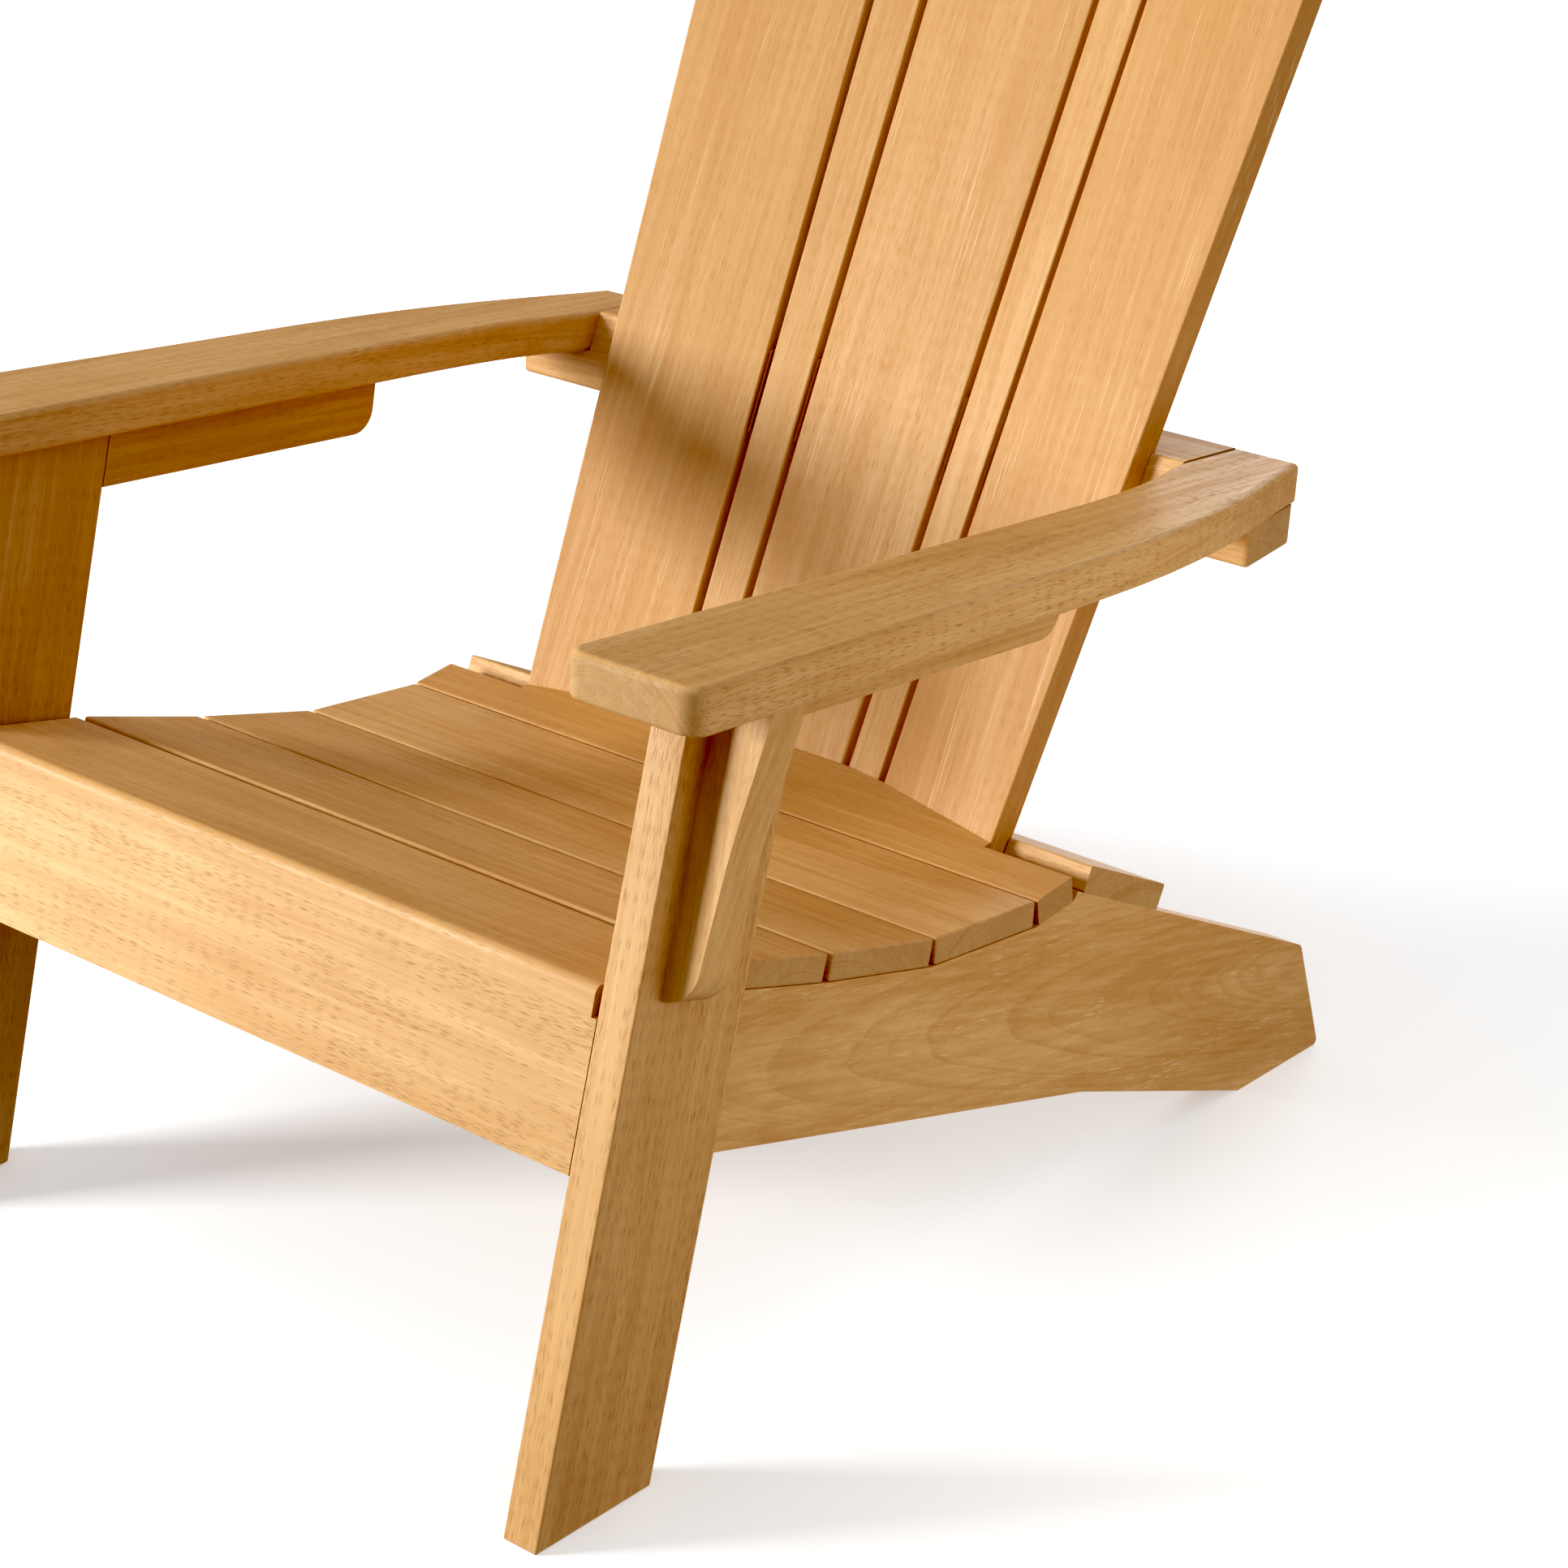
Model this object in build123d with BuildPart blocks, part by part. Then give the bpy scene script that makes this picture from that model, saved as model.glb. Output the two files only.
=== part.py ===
from build123d import *
from math import cos, hypot, radians, sin, tan
import os

# Adirondack chair in solid hardwood. Millimetres, +Z up, the sitter faces -Y, +X is the sitter's left.
# The origin is the middle of the chair's footprint on the floor. Side views are drawn in (y, z), with y
# measured back from the toe of the front legs.

# ---- driving dimensions ----
chair_depth = 938.9            # toe of the front legs to the top of the back
leg_gap = 592.0                # clear width between the front legs
leg_thick = 28.0
leg_wide = 96.0                # across the grain
leg_rake = 16.2                # degrees back from upright

rail_face = 294.0              # outer faces of the two long side rails, from the centre plane
rail_thick = 28.0

apron_low = 221.4              # height of the apron's lower front edge
apron_thick = 26.0

slat_thick = 19.0
slat_gap = 6.0
nose_radius = 6.0
front_slat_end = 291.5         # the front slat clears the legs, the others run flush with the side rails
seat_line = [                  # undersides of the slats, where neighbouring slats meet
    (91.0, 312.9),
    (192.0, 292.0),
    (296.8, 260.1),
    (401.8, 232.8),
    (511.3, 222.2),
    (551.4, 227.0),
]
rail_peak = (556.5, 232.7)     # top of the side rail, where the tail starts
tail_top = (836.6, 92.6)
heel = (868.6, 0.0)
foot_front = (765.5, 0.0)
arch_point = (570.0, 76.2)
rail_low_front = 212.8         # height of the side rail's lower edge behind the apron
arch_radius = 90.0
rear_slat_start = 7.0          # from the peak, down the tail
rear_slat_wide = 96.0
slat_five_back = 551.0         # rear edge of the last seat slat, beside the back

arm_thick = 28.0
arm_drop = 4.67                # degrees down towards the back
arm_front = 77.5
arm_under = 513.6              # underside height at the arm's front end
arm_outer = 387.0
arm_inner = 286.0
arm_outer_curve = [(382.0, 145.0), (373.6, 316.0), (366.2, 448.0), (343.2, 579.0)]
arm_tail_outer = 317.5
arm_tail_inner = 267.0
arm_inner_bend = 404.04        # along the arm, where its inner edge starts to curve in
arm_inner_curve = (274.5, 574.0)
arm_inner_end = 690.0
arm_back = 750.0
arm_corner = 14.0
arm_edge = 4.5
arm_low_edge = 3.0

under_rail_deep = 37.0
under_rail_end = 488.0
under_rail_drawn_in = 5.0      # the end leans in towards its lower corner
under_rail_corner = 19.0

corbel_thick = 28.0
corbel_set_back = 20.6
corbel_low = 325.0
corbel_foot = [(0.0, 0.0), (18.2, 8.5), (24.6, 26.0)]     # projection from the leg, and height
corbel_flare = [(24.6, 26.0), (26.4, 50.0), (29.5, 90.0), (36.9, 145.0), (42.0, 184.0), (44.0, 210.0)]

crossbar_deep = 28.0           # height of the lower crossbar
lower_bar_front = 600.5        # along the arm, from its front end
lower_bar_half = 334.0
lower_bar_rear_half = 317.0
upper_bar_front = 603.0
upper_bar_lean = 10.0          # its front face leans back with the boards

back_rake = 26.8               # degrees back from upright
back_seat = (592.3, 260.0)     # front face of the centre board, at the reference height
board_thick = 18.0
board_foot = -52.0             # distances up the slope of the back, from the reference height
back_top = 733.0
back_crown = 24.0              # drop of the top outline from the centre to the outer corners
centre_half = (60.9, 0.0170)   # half width at the reference height, and growth per millimetre of slope
narrow_edges = ((66.8, 0.0152), (98.0, 0.0276))
outer_edges = ((103.8, 0.0258), (221.8, 0.0605))
gap_growth = (0.0161, 0.0267)  # the middles of the gaps beside the narrow boards
narrow_turn = 7.0              # degrees that the boards turn towards the sitter
outer_turn = 10.8

batten_low = 628.0
batten_high = 688.0
batten_thick = 20.0
batten_half = 222.0

edge = 2.0                     # softened edges of the boards
leg_edge = 1.6
foot_chamfer = 1.2
board_edge = 1.6
bar_edge = 3.0
tail_corner = 8.0
foot_corner = 4.0
board_corner = 3.0
outer_board_corner = 34.0

bolt_dia = 8.0
bolt_head_wide = 13.0
bolt_head_high = 5.3
bolt_reach = 22.0              # into the leg
insert_dia = 12.0
insert_long = 18.0
bolt_spots = [(124.0, 267.0), (143.0, 222.0)]
washer_dia = 17.0
washer_thick = 1.6

small_dowel = 8.0
large_dowel = 10.0
seat_dowel_long = 38.0
seat_dowel_sunk = 26.0         # below the slat
apron_dowel_long = 38.0
corbel_dowel_long = 30.0
rail_dowel_long = 54.0
arm_dowel_long = 48.0
crossbar_dowel_long = 50.0
back_dowel_long = 34.0
batten_dowel_long = 22.0
screw_dia = 4.5
screw_head = 9.0
screw_head_high = 3.2
screw_long = 43.0
screw_tip = 6.0
screw_sunk = 12.0              # countersink below the under-arm rail

os.makedirs("parts", exist_ok=True)

# ---- derived values and reference planes ----
mid = chair_depth / 2
leg_slope = tan(radians(leg_rake))
leg_wide_level = leg_wide / cos(radians(leg_rake))
arm_fall = tan(radians(arm_drop))
slope_sin = sin(radians(back_rake))
slope_cos = cos(radians(back_rake))


def side(x):
    """Side view plane at x, drawn in (y, z) from the toe of the front legs."""
    return Plane(origin=(x, -mid, 0), x_dir=(0, 1, 0), z_dir=(1, 0, 0))


arm_normal = (0, sin(radians(arm_drop)), cos(radians(arm_drop)))
arm_plan = Plane(origin=(0, arm_front - mid, arm_under), x_dir=(1, 0, 0), z_dir=arm_normal)


def arm_side(x):
    """Side view plane at x, with the arm's underside as its horizontal axis."""
    return Plane(origin=arm_plan.from_local_coords((x, 0, 0)), x_dir=arm_plan.y_dir, z_dir=(1, 0, 0))


def along_arm(y):
    """Distance along the arm's underside from its front end, for a side view y."""
    return (y - arm_front) / cos(radians(arm_drop))


def under_arm(y):
    """Height of the arm's underside at a side view y."""
    return arm_under - arm_fall * (y - arm_front)


def leg_front(z):
    return leg_slope * z


back_origin = Vector(0, back_seat[0] - mid, back_seat[1])
back_up = Vector(0, slope_sin, slope_cos)
back_out = Vector(0, slope_cos, -slope_sin)


def edge_at(line, climb):
    """Distance of a board's edge from the centre plane, at a distance up the slope."""
    return line[0] + line[1] * climb


def board_plane(inner, turn, sunk=0.0):
    """Front face of a board: x across it, y up the slope, z towards the sitter."""
    across = Vector(1, 0, 0) * cos(radians(turn)) - back_out * sin(radians(turn))
    origin = back_origin + Vector(inner, 0, 0) - back_out * sunk
    return Plane(origin=origin, x_dir=across, z_dir=across.cross(back_up))


outer_sunk = (outer_edges[0][0] - narrow_edges[0][0]) * tan(radians(narrow_turn))
centre_plane = board_plane(0, 0)
narrow_plane = board_plane(narrow_edges[0][0], narrow_turn)
outer_plane = board_plane(outer_edges[0][0], outer_turn, outer_sunk)
centre_edges = ((-centre_half[0], -centre_half[1]), centre_half)


def crown(x):
    """Distance up the slope of the back's top outline."""
    return back_top - back_crown * (x / edge_at(outer_edges[1], back_top)) ** 2


def behind(x):
    """Depth of the boards' rear faces behind the centre board's front, x from the centre plane."""
    if x < narrow_edges[0][0] - 3:
        return board_thick
    if x < outer_edges[0][0] - 3:
        return board_thick / cos(radians(narrow_turn)) - (x - narrow_edges[0][0]) * tan(radians(narrow_turn))
    past = (x - outer_edges[0][0]) * tan(radians(outer_turn))
    return board_thick / cos(radians(outer_turn)) - outer_sunk - past


def save(builder, name):
    builder.part.label = name
    export_step(builder.part, f"parts/{name}.step")


# ---- hardware shapes: each stands on its own z axis ----
with BuildPart() as wood_screw:
    with BuildSketch(Plane.XZ):
        with BuildLine():
            Polyline(
                (0, 0),
                (screw_head / 2, 0),
                (screw_head / 2, -0.6),
                (screw_dia / 2, -screw_head_high),
                (screw_dia / 2, screw_tip - screw_long),
                (0, -screw_long),
                close=True,
            )
        make_face()
    revolve(axis=Axis.Z)

with BuildPart() as hex_bolt:
    with BuildSketch(Plane.XY):
        RegularPolygon(bolt_head_wide / 2, 6, major_radius=False)
    extrude(amount=bolt_head_high)
    chamfer(hex_bolt.faces().sort_by(Axis.Z)[-1].edges(), 0.8)
    with BuildSketch(Plane.XY):
        Circle(bolt_dia / 2)
    extrude(amount=-(washer_thick + rail_thick + leg_gap / 2 - rail_face + bolt_reach))
    chamfer(hex_bolt.faces().sort_by(Axis.Z)[0].edges(), 1.0)


def facing_x(x, spot, sign):
    """Plane at a side view spot, with z along +X or -X."""
    return Plane(origin=(x * sign, spot[0] - mid, spot[1]), x_dir=(0, 1, 0), z_dir=(sign, 0, 0))


# ---- where the fasteners go ----
bolt_planes = [facing_x(rail_face - rail_thick - washer_thick, s, k) for s in bolt_spots for k in (1, -1)]


def seat_dowel_planes():
    """Two dowels through each end of every slat, square to the slat."""
    planes = []
    for (y0, z0), (y1, z1) in zip(seat_line[:-1], seat_line[1:]):
        run = hypot(y1 - y0, z1 - z0)
        spots = (0.36, 0.74) if run > 50 else (0.5,)
        for part in spots:
            place = (y0 + (y1 - y0) * part, z0 + (z1 - z0) * part)
            for sign in (1, -1):
                centre = (sign * (rail_face - rail_thick / 2), place[0] - mid, place[1])
                square = (0, (z0 - z1) / run, (y1 - y0) / run)
                planes.append(Plane(origin=centre, x_dir=(1, 0, 0), z_dir=square))
    return planes


tail_run = hypot(tail_top[0] - rail_peak[0], tail_top[1] - rail_peak[1])
tail_dir = ((tail_top[0] - rail_peak[0]) / tail_run, (tail_top[1] - rail_peak[1]) / tail_run)


def rear_slat_point(run, rise):
    """Side view point on the rear slat, measured along and off the tail of the side rail."""
    return (
        rail_peak[0] + tail_dir[0] * run - tail_dir[1] * rise,
        rail_peak[1] + tail_dir[1] * run + tail_dir[0] * rise,
    )


def rear_dowel_planes():
    planes = []
    for run in (0.3 * rear_slat_wide, 0.75 * rear_slat_wide):
        place = rear_slat_point(run, 0)
        for sign in (1, -1):
            centre = (sign * (rail_face - rail_thick / 2), place[0] - mid, place[1])
            planes.append(Plane(origin=centre, x_dir=(1, 0, 0), z_dir=(0, -tail_dir[1], tail_dir[0])))
    return planes


with BuildPart() as leg_bolts:
    with Locations(*[Plane(origin=p.origin, x_dir=p.x_dir, z_dir=p.z_dir * -1) for p in bolt_planes]):
        add(hex_bolt.part)

with BuildPart() as bolt_washers:
    with BuildSketch(*bolt_planes):
        Circle(washer_dia / 2)
        Circle(bolt_dia / 2 + 0.2, mode=Mode.SUBTRACT)
    extrude(amount=washer_thick)

with BuildPart() as leg_spacers:
    with BuildSketch(*[facing_x(rail_face, s, k) for s in bolt_spots for k in (1, -1)]):
        Circle(washer_dia / 2)
        Circle(bolt_dia / 2 + 0.2, mode=Mode.SUBTRACT)
    extrude(amount=leg_gap / 2 - rail_face)

with BuildPart() as leg_inserts:
    with BuildSketch(*[facing_x(leg_gap / 2, s, k) for s in bolt_spots for k in (1, -1)]):
        Circle(insert_dia / 2)
        Circle(bolt_dia / 2 + 0.1, mode=Mode.SUBTRACT)
    extrude(amount=insert_long)

with BuildPart() as seat_dowels:
    dowel_planes = seat_dowel_planes() + rear_dowel_planes()
    with BuildSketch(*[p.offset(-seat_dowel_sunk) for p in dowel_planes]):
        Circle(small_dowel / 2)
    extrude(amount=seat_dowel_long)

apron_spots = [(leg_front(z) + apron_thick / 2 / cos(radians(leg_rake)), z) for z in (243.0, 286.0)]
with BuildPart() as apron_dowels:
    with BuildSketch(*[facing_x(leg_gap / 2 - 20, s, k) for s in apron_spots for k in (1, -1)]):
        Circle(large_dowel / 2)
    extrude(amount=apron_dowel_long)

corbel_mid = corbel_set_back + corbel_thick / 2 / cos(radians(leg_rake))
corbel_spots = [(leg_front(z) + corbel_mid, z) for z in (372.0, 452.0)]
with BuildPart() as corbel_dowels:
    with BuildSketch(*[facing_x(leg_gap / 2 + leg_thick - 14, s, k) for s in corbel_spots for k in (1, -1)]):
        Circle(small_dowel / 2)
    extrude(amount=corbel_dowel_long)

leg_back_top = (leg_slope * arm_under + leg_wide_level + leg_slope * arm_fall * arm_front) / (
    1 + leg_slope * arm_fall
)
rail_start = along_arm(leg_back_top)
leg_mid_x = leg_gap / 2 + leg_thick / 2

with BuildPart() as rail_dowels:
    for sign in (1, -1):
        centre = arm_plan.from_local_coords((sign * leg_mid_x, rail_start - 30, -under_rail_deep / 2))
        with BuildSketch(Plane(origin=centre, x_dir=(1, 0, 0), z_dir=arm_plan.y_dir)):
            Circle(small_dowel / 2)
        extrude(amount=rail_dowel_long)

with BuildPart() as rail_screws:
    for reach in (rail_start + 60, rail_start + 185):
        for sign in (1, -1):
            centre = arm_plan.from_local_coords((sign * leg_mid_x, reach, screw_sunk - under_rail_deep))
            with Locations(Plane(origin=centre, x_dir=(1, 0, 0), z_dir=arm_plan.z_dir * -1)):
                add(wood_screw.part)

with BuildPart() as arm_dowels:
    for y in (172.0, 204.0):
        for sign in (1, -1):
            centre = arm_plan.from_local_coords((sign * leg_mid_x, along_arm(y), -30))
            with BuildSketch(Plane(origin=centre, x_dir=(1, 0, 0), z_dir=arm_plan.z_dir)):
                Circle(large_dowel / 2)
            extrude(amount=arm_dowel_long)

with BuildPart() as crossbar_dowels:
    for reach in (622.0, 646.0):
        for sign in (1, -1):
            centre = arm_plan.from_local_coords((sign * (arm_tail_inner - 25), reach, arm_thick / 2))
            with BuildSketch(Plane(origin=centre, x_dir=(0, 1, 0), z_dir=(sign, 0, 0))):
                Circle(small_dowel / 2)
            extrude(amount=crossbar_dowel_long)

screw_places = ((288.0, 634.0), (300.0, 658.0), (170.0, 660.0))
crossbar_screw_spots = [(s * x, t) for s in (1, -1) for x, t in screw_places]
with BuildPart() as crossbar_screws:
    for x, reach in crossbar_screw_spots:
        centre = arm_plan.from_local_coords((x, reach, -crossbar_deep))
        with Locations(Plane(origin=centre, x_dir=(1, 0, 0), z_dir=arm_plan.z_dir * -1)):
            add(wood_screw.part)

# ---- dowels from the boards into the rear slat, and into the batten near the top ----
board_centres = [0.0, 82.4, 132.0, 196.0]
tail_vector = Vector(0, tail_dir[0], tail_dir[1])
with BuildPart() as back_dowels:
    slat_mid = rear_slat_point(0, slat_thick / 2)
    slat_start = (Vector(0, slat_mid[0] - mid, slat_mid[1]) - back_origin).dot(back_out)
    for x in board_centres:
        run = (behind(x) - slat_start) / tail_vector.dot(back_out)
        place = rear_slat_point(run - 8, slat_thick / 2)
        for sign in (1, -1) if x else (1,):
            centre = (sign * x, place[0] - mid, place[1])
            with BuildSketch(Plane(origin=centre, x_dir=(1, 0, 0), z_dir=tail_vector)):
                Circle(small_dowel / 2)
            extrude(amount=back_dowel_long)

batten_mid = (batten_low + batten_high) / 2
batten_places = [30.0, 88.0, 146.0, 200.0]
with BuildPart() as batten_dowels:
    for x in batten_places:
        for sign in (1, -1):
            centre = back_origin + back_up * batten_mid + back_out * (behind(x) - 8) + Vector(sign * x, 0, 0)
            with BuildSketch(Plane(origin=centre, x_dir=(1, 0, 0), z_dir=back_out)):
                Circle(small_dowel / 2)
            extrude(amount=batten_dowel_long)

# ---- front legs, one board each ----
leg_top_front = (leg_slope * arm_under + leg_slope * arm_fall * arm_front) / (1 + leg_slope * arm_fall)
with BuildPart() as leg_left:
    with BuildSketch(side(leg_gap / 2)):
        with BuildLine():
            Polyline(
                (0, 0),
                (leg_wide_level, 0),
                (leg_back_top, under_arm(leg_back_top)),
                (leg_top_front, under_arm(leg_top_front)),
                close=True,
            )
        make_face()
    extrude(amount=leg_thick)
    leg_axis = Axis((0, 0, 0), (0, leg_slope, 1))
    fillet(leg_left.edges().filter_by(leg_axis), leg_edge)
    chamfer(leg_left.faces().sort_by(Axis.Z)[0].edges(), foot_chamfer)
    with BuildSketch(*[facing_x(leg_gap / 2, s, 1) for s in bolt_spots]):
        Circle(insert_dia / 2)
    extrude(amount=insert_long, mode=Mode.SUBTRACT)
    add(leg_bolts.part, mode=Mode.SUBTRACT)
    add(apron_dowels.part, mode=Mode.SUBTRACT)
    add(corbel_dowels.part, mode=Mode.SUBTRACT)
    add(rail_dowels.part, mode=Mode.SUBTRACT)
    add(arm_dowels.part, mode=Mode.SUBTRACT)

with BuildPart() as leg_right:
    mirror(leg_left.part, about=Plane.YZ)

# ---- apron, between the legs and in line with their front edges ----
apron_back_low = (
    leg_front(apron_low) + apron_thick * cos(radians(leg_rake)),
    apron_low - apron_thick * sin(radians(leg_rake)),
)
slat_one_fall = (seat_line[1][1] - seat_line[0][1]) / (seat_line[1][0] - seat_line[0][0])
apron_top = (leg_front(seat_line[0][1]), seat_line[0][1])
apron_back_y = (
    apron_back_low[0] + leg_slope * (apron_top[1] - slat_one_fall * apron_top[0] - apron_back_low[1])
) / (1 - leg_slope * slat_one_fall)
apron_back_top = (apron_back_y, apron_top[1] + slat_one_fall * (apron_back_y - apron_top[0]))

with BuildPart() as apron:
    with BuildSketch(side(-leg_gap / 2)) as apron_outline:
        with BuildLine():
            Polyline(
                (leg_front(apron_low), apron_low),
                apron_back_low,
                apron_back_top,
                apron_top,
                close=True,
            )
        make_face()
        fillet(apron_outline.vertices().sort_by(Axis.Y)[0], edge)
    extrude(amount=leg_gap)
    add(apron_dowels.part, mode=Mode.SUBTRACT)

# ---- side rails: scooped under the seat, then straight down to the rear foot ----
with BuildPart() as side_rail_left:
    with BuildSketch(side(rail_face - rail_thick)) as rail_outline:
        with BuildLine():
            Polyline(
                apron_back_top,
                *seat_line[1:],
                rail_peak,
                tail_top,
                heel,
                foot_front,
                arch_point,
                (apron_back_low[0] + leg_slope * (rail_low_front - apron_back_low[1]), rail_low_front),
                close=True,
            )
        make_face()
        fillet(rail_outline.vertices().sort_by_distance((*arch_point, 0))[0], arch_radius)
        for corner, radius in ((tail_top, tail_corner), (heel, foot_corner), (foot_front, foot_corner)):
            fillet(rail_outline.vertices().sort_by_distance((*corner, 0))[0], radius)
    extrude(amount=rail_thick)
    add(seat_dowels.part, mode=Mode.SUBTRACT)
    with BuildSketch(*[facing_x(rail_face - rail_thick, s, 1) for s in bolt_spots]):
        Circle(bolt_dia / 2 + 0.5)
    extrude(amount=rail_thick, mode=Mode.SUBTRACT)

with BuildPart() as side_rail_right:
    mirror(side_rail_left.part, about=Plane.YZ)

# ---- seat slats, each lying on the side rails ----
def on_slat(start, end, run, rise):
    """Side view point measured along and above a slat's underside."""
    reach = hypot(end[0] - start[0], end[1] - start[1])
    ahead = ((end[0] - start[0]) / reach, (end[1] - start[1]) / reach)
    return (start[0] + ahead[0] * run - ahead[1] * rise, start[1] + ahead[1] * run + ahead[0] * rise)


def slat_outline(start, end, front, back):
    """Corners of a slat's end, its gaps to the neighbours left clear."""
    length = hypot(end[0] - start[0], end[1] - start[1])
    return [
        on_slat(start, end, front, 0),
        on_slat(start, end, length - back, 0),
        on_slat(start, end, length - back, slat_thick),
        on_slat(start, end, front, slat_thick),
    ]


with BuildPart() as slat_1:
    with BuildSketch(side(-front_slat_end)):
        with BuildLine():
            low_front, low_back, high_back, high_front = slat_outline(*seat_line[:2], 0, slat_gap / 2)
            Polyline(low_front, low_back, high_back, (leg_front(high_front[1]), high_front[1]), close=True)
        make_face()
    extrude(amount=2 * front_slat_end)
    nose = slat_1.edges().filter_by(Axis.X).sort_by(Axis.Z)[-1]
    fillet(nose, nose_radius)
    fillet(slat_1.edges().filter_by(Axis.X).sort_by(Axis.Y)[-2:], edge)
    add(seat_dowels.part, mode=Mode.SUBTRACT)

middle_slats = []
for start, end in zip(seat_line[1:4], seat_line[2:5]):
    with BuildPart() as middle_slat:
        with BuildSketch(side(-rail_face)):
            with BuildLine():
                Polyline(*slat_outline(start, end, slat_gap / 2, slat_gap / 2), close=True)
            make_face()
        extrude(amount=2 * rail_face)
        fillet(middle_slat.edges(), edge)
        add(seat_dowels.part, mode=Mode.SUBTRACT)
    middle_slats.append(middle_slat)

# ---- space taken by the back: in front of its rear faces, and behind its front faces ----
narrow_gap_mid = (centre_half[0] + narrow_edges[0][0]) / 2
outer_gap_mid = (narrow_edges[1][0] + outer_edges[0][0]) / 2
inner_gap = (narrow_gap_mid, gap_growth[0])
outer_gap = (outer_gap_mid, gap_growth[1])
past_edge = (outer_edges[1][0] + 1.0, outer_edges[1][1])
back_bands = [
    (centre_plane, 0.0, ((-narrow_gap_mid, -gap_growth[0]), inner_gap), 0),
    (narrow_plane, narrow_edges[0][0], (inner_gap, outer_gap), narrow_turn),
    (outer_plane, outer_edges[0][0], (outer_gap, past_edge), outer_turn),
]


def band_points(inner, edges, turn, low, high):
    """Corners of a strip across the back, in its own board plane."""
    left, right = edges
    scale = cos(radians(turn))
    return [
        ((edge_at(left, low) - inner) / scale, low),
        ((edge_at(right, low) - inner) / scale, low),
        ((edge_at(right, high) - inner) / scale, high),
        ((edge_at(left, high) - inner) / scale, high),
    ]


with BuildPart() as back_ahead:
    for plane, inner, edges, turn in back_bands:
        with BuildSketch(plane.offset(-board_thick)):
            Polygon(*band_points(inner, edges, turn, -70, 760), align=None)
        extrude(amount=90)
    mirror(about=Plane.YZ)

with BuildPart() as back_behind:
    with BuildSketch(Plane(origin=back_origin - back_up * 70, x_dir=(1, 0, 0), z_dir=back_up)):
        with BuildLine():
            Polyline(
                (0, -0.4),
                (narrow_gap_mid, -0.4),
                (outer_gap_mid, behind(outer_gap_mid - 0.1) - board_thick - 0.5),
                (outer_edges[1][0], behind(outer_edges[1][0]) - board_thick - 0.6),
                (outer_edges[1][0], 90),
                (0, 90),
                close=True,
            )
        make_face()
        mirror(about=Plane.YZ)
    extrude(amount=130)

# ---- last seat slat: straight beside the back, and scribed to the boards across the middle ----
with BuildPart() as slat_5:
    five_start, five_end = seat_line[4], seat_line[5]
    with BuildSketch(side(-rail_face)):
        with BuildLine():
            past_back = five_end[0] - slat_five_back
            Polyline(*slat_outline(five_start, five_end, slat_gap / 2, past_back), close=True)
        make_face()
    extrude(amount=2 * rail_face)
    scribed = edge_at(outer_edges[1], -20) - 1
    with BuildSketch(side(-scribed)):
        with BuildLine():
            Polyline(*slat_outline(five_start, five_end, 20, -42), close=True)
        make_face()
    extrude(amount=2 * scribed)
    add(back_behind.part, mode=Mode.SUBTRACT)
    fillet(slat_5.edges().filter_by(Axis.X).sort_by(Axis.Y)[:2], edge)
    add(seat_dowels.part, mode=Mode.SUBTRACT)

# ---- slat behind the back, square to it, on the falling tails of the side rails ----
with BuildPart() as rear_slat:
    with BuildSketch(side(-rail_face)):
        with BuildLine():
            Polyline(
                rear_slat_point(rear_slat_start, 0),
                rear_slat_point(rear_slat_start + rear_slat_wide, 0),
                rear_slat_point(rear_slat_start + rear_slat_wide, slat_thick),
                rear_slat_point(rear_slat_start, slat_thick),
                close=True,
            )
        make_face()
    extrude(amount=2 * rail_face)
    fillet(rear_slat.edges().filter_by(Axis.X), edge)
    add(back_ahead.part, mode=Mode.SUBTRACT)
    add(seat_dowels.part, mode=Mode.SUBTRACT)
    add(back_dowels.part, mode=Mode.SUBTRACT)

# ---- back boards: one at the centre, a narrow pair and a wide pair, fanned out ----
def board_points(inner, edges, turn):
    """Foot corners, then the top outline from outer to inner edge, in the board's plane."""
    left, right = edges
    scale = cos(radians(turn))
    low_left = (edge_at(left, board_foot) - inner) / scale
    low_right = (edge_at(right, board_foot) - inner) / scale
    tops = []
    for share in (1.0, 0.5, 0.0):
        x = edge_at(left, back_top) * (1 - share) + edge_at(right, back_top) * share
        tops.append(((x - inner) / scale, crown(x)))
    return (low_left, board_foot), (low_right, board_foot), tops


def cut_board(plane, inner, edges, turn, corner):
    with BuildPart() as board:
        with BuildSketch(plane) as outline:
            low_left, low_right, tops = board_points(inner, edges, turn)
            with BuildLine():
                Polyline(tops[2], low_left, low_right, tops[0])
                ThreePointArc(*tops)
            make_face()
            fillet(outline.vertices().sort_by_distance((*tops[0], 0))[0], corner)
        extrude(amount=-board_thick)
        fillet(board.edges(), board_edge)
        add(back_dowels.part, mode=Mode.SUBTRACT)
        add(batten_dowels.part, mode=Mode.SUBTRACT)
    return board


centre_board = cut_board(centre_plane, 0.0, centre_edges, 0, board_corner)
narrow_board_left = cut_board(narrow_plane, narrow_edges[0][0], narrow_edges, narrow_turn, board_corner)
outer_board_left = cut_board(outer_plane, outer_edges[0][0], outer_edges, outer_turn, outer_board_corner)

with BuildPart() as narrow_board_right:
    mirror(narrow_board_left.part, about=Plane.YZ)

with BuildPart() as outer_board_right:
    mirror(outer_board_left.part, about=Plane.YZ)

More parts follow.
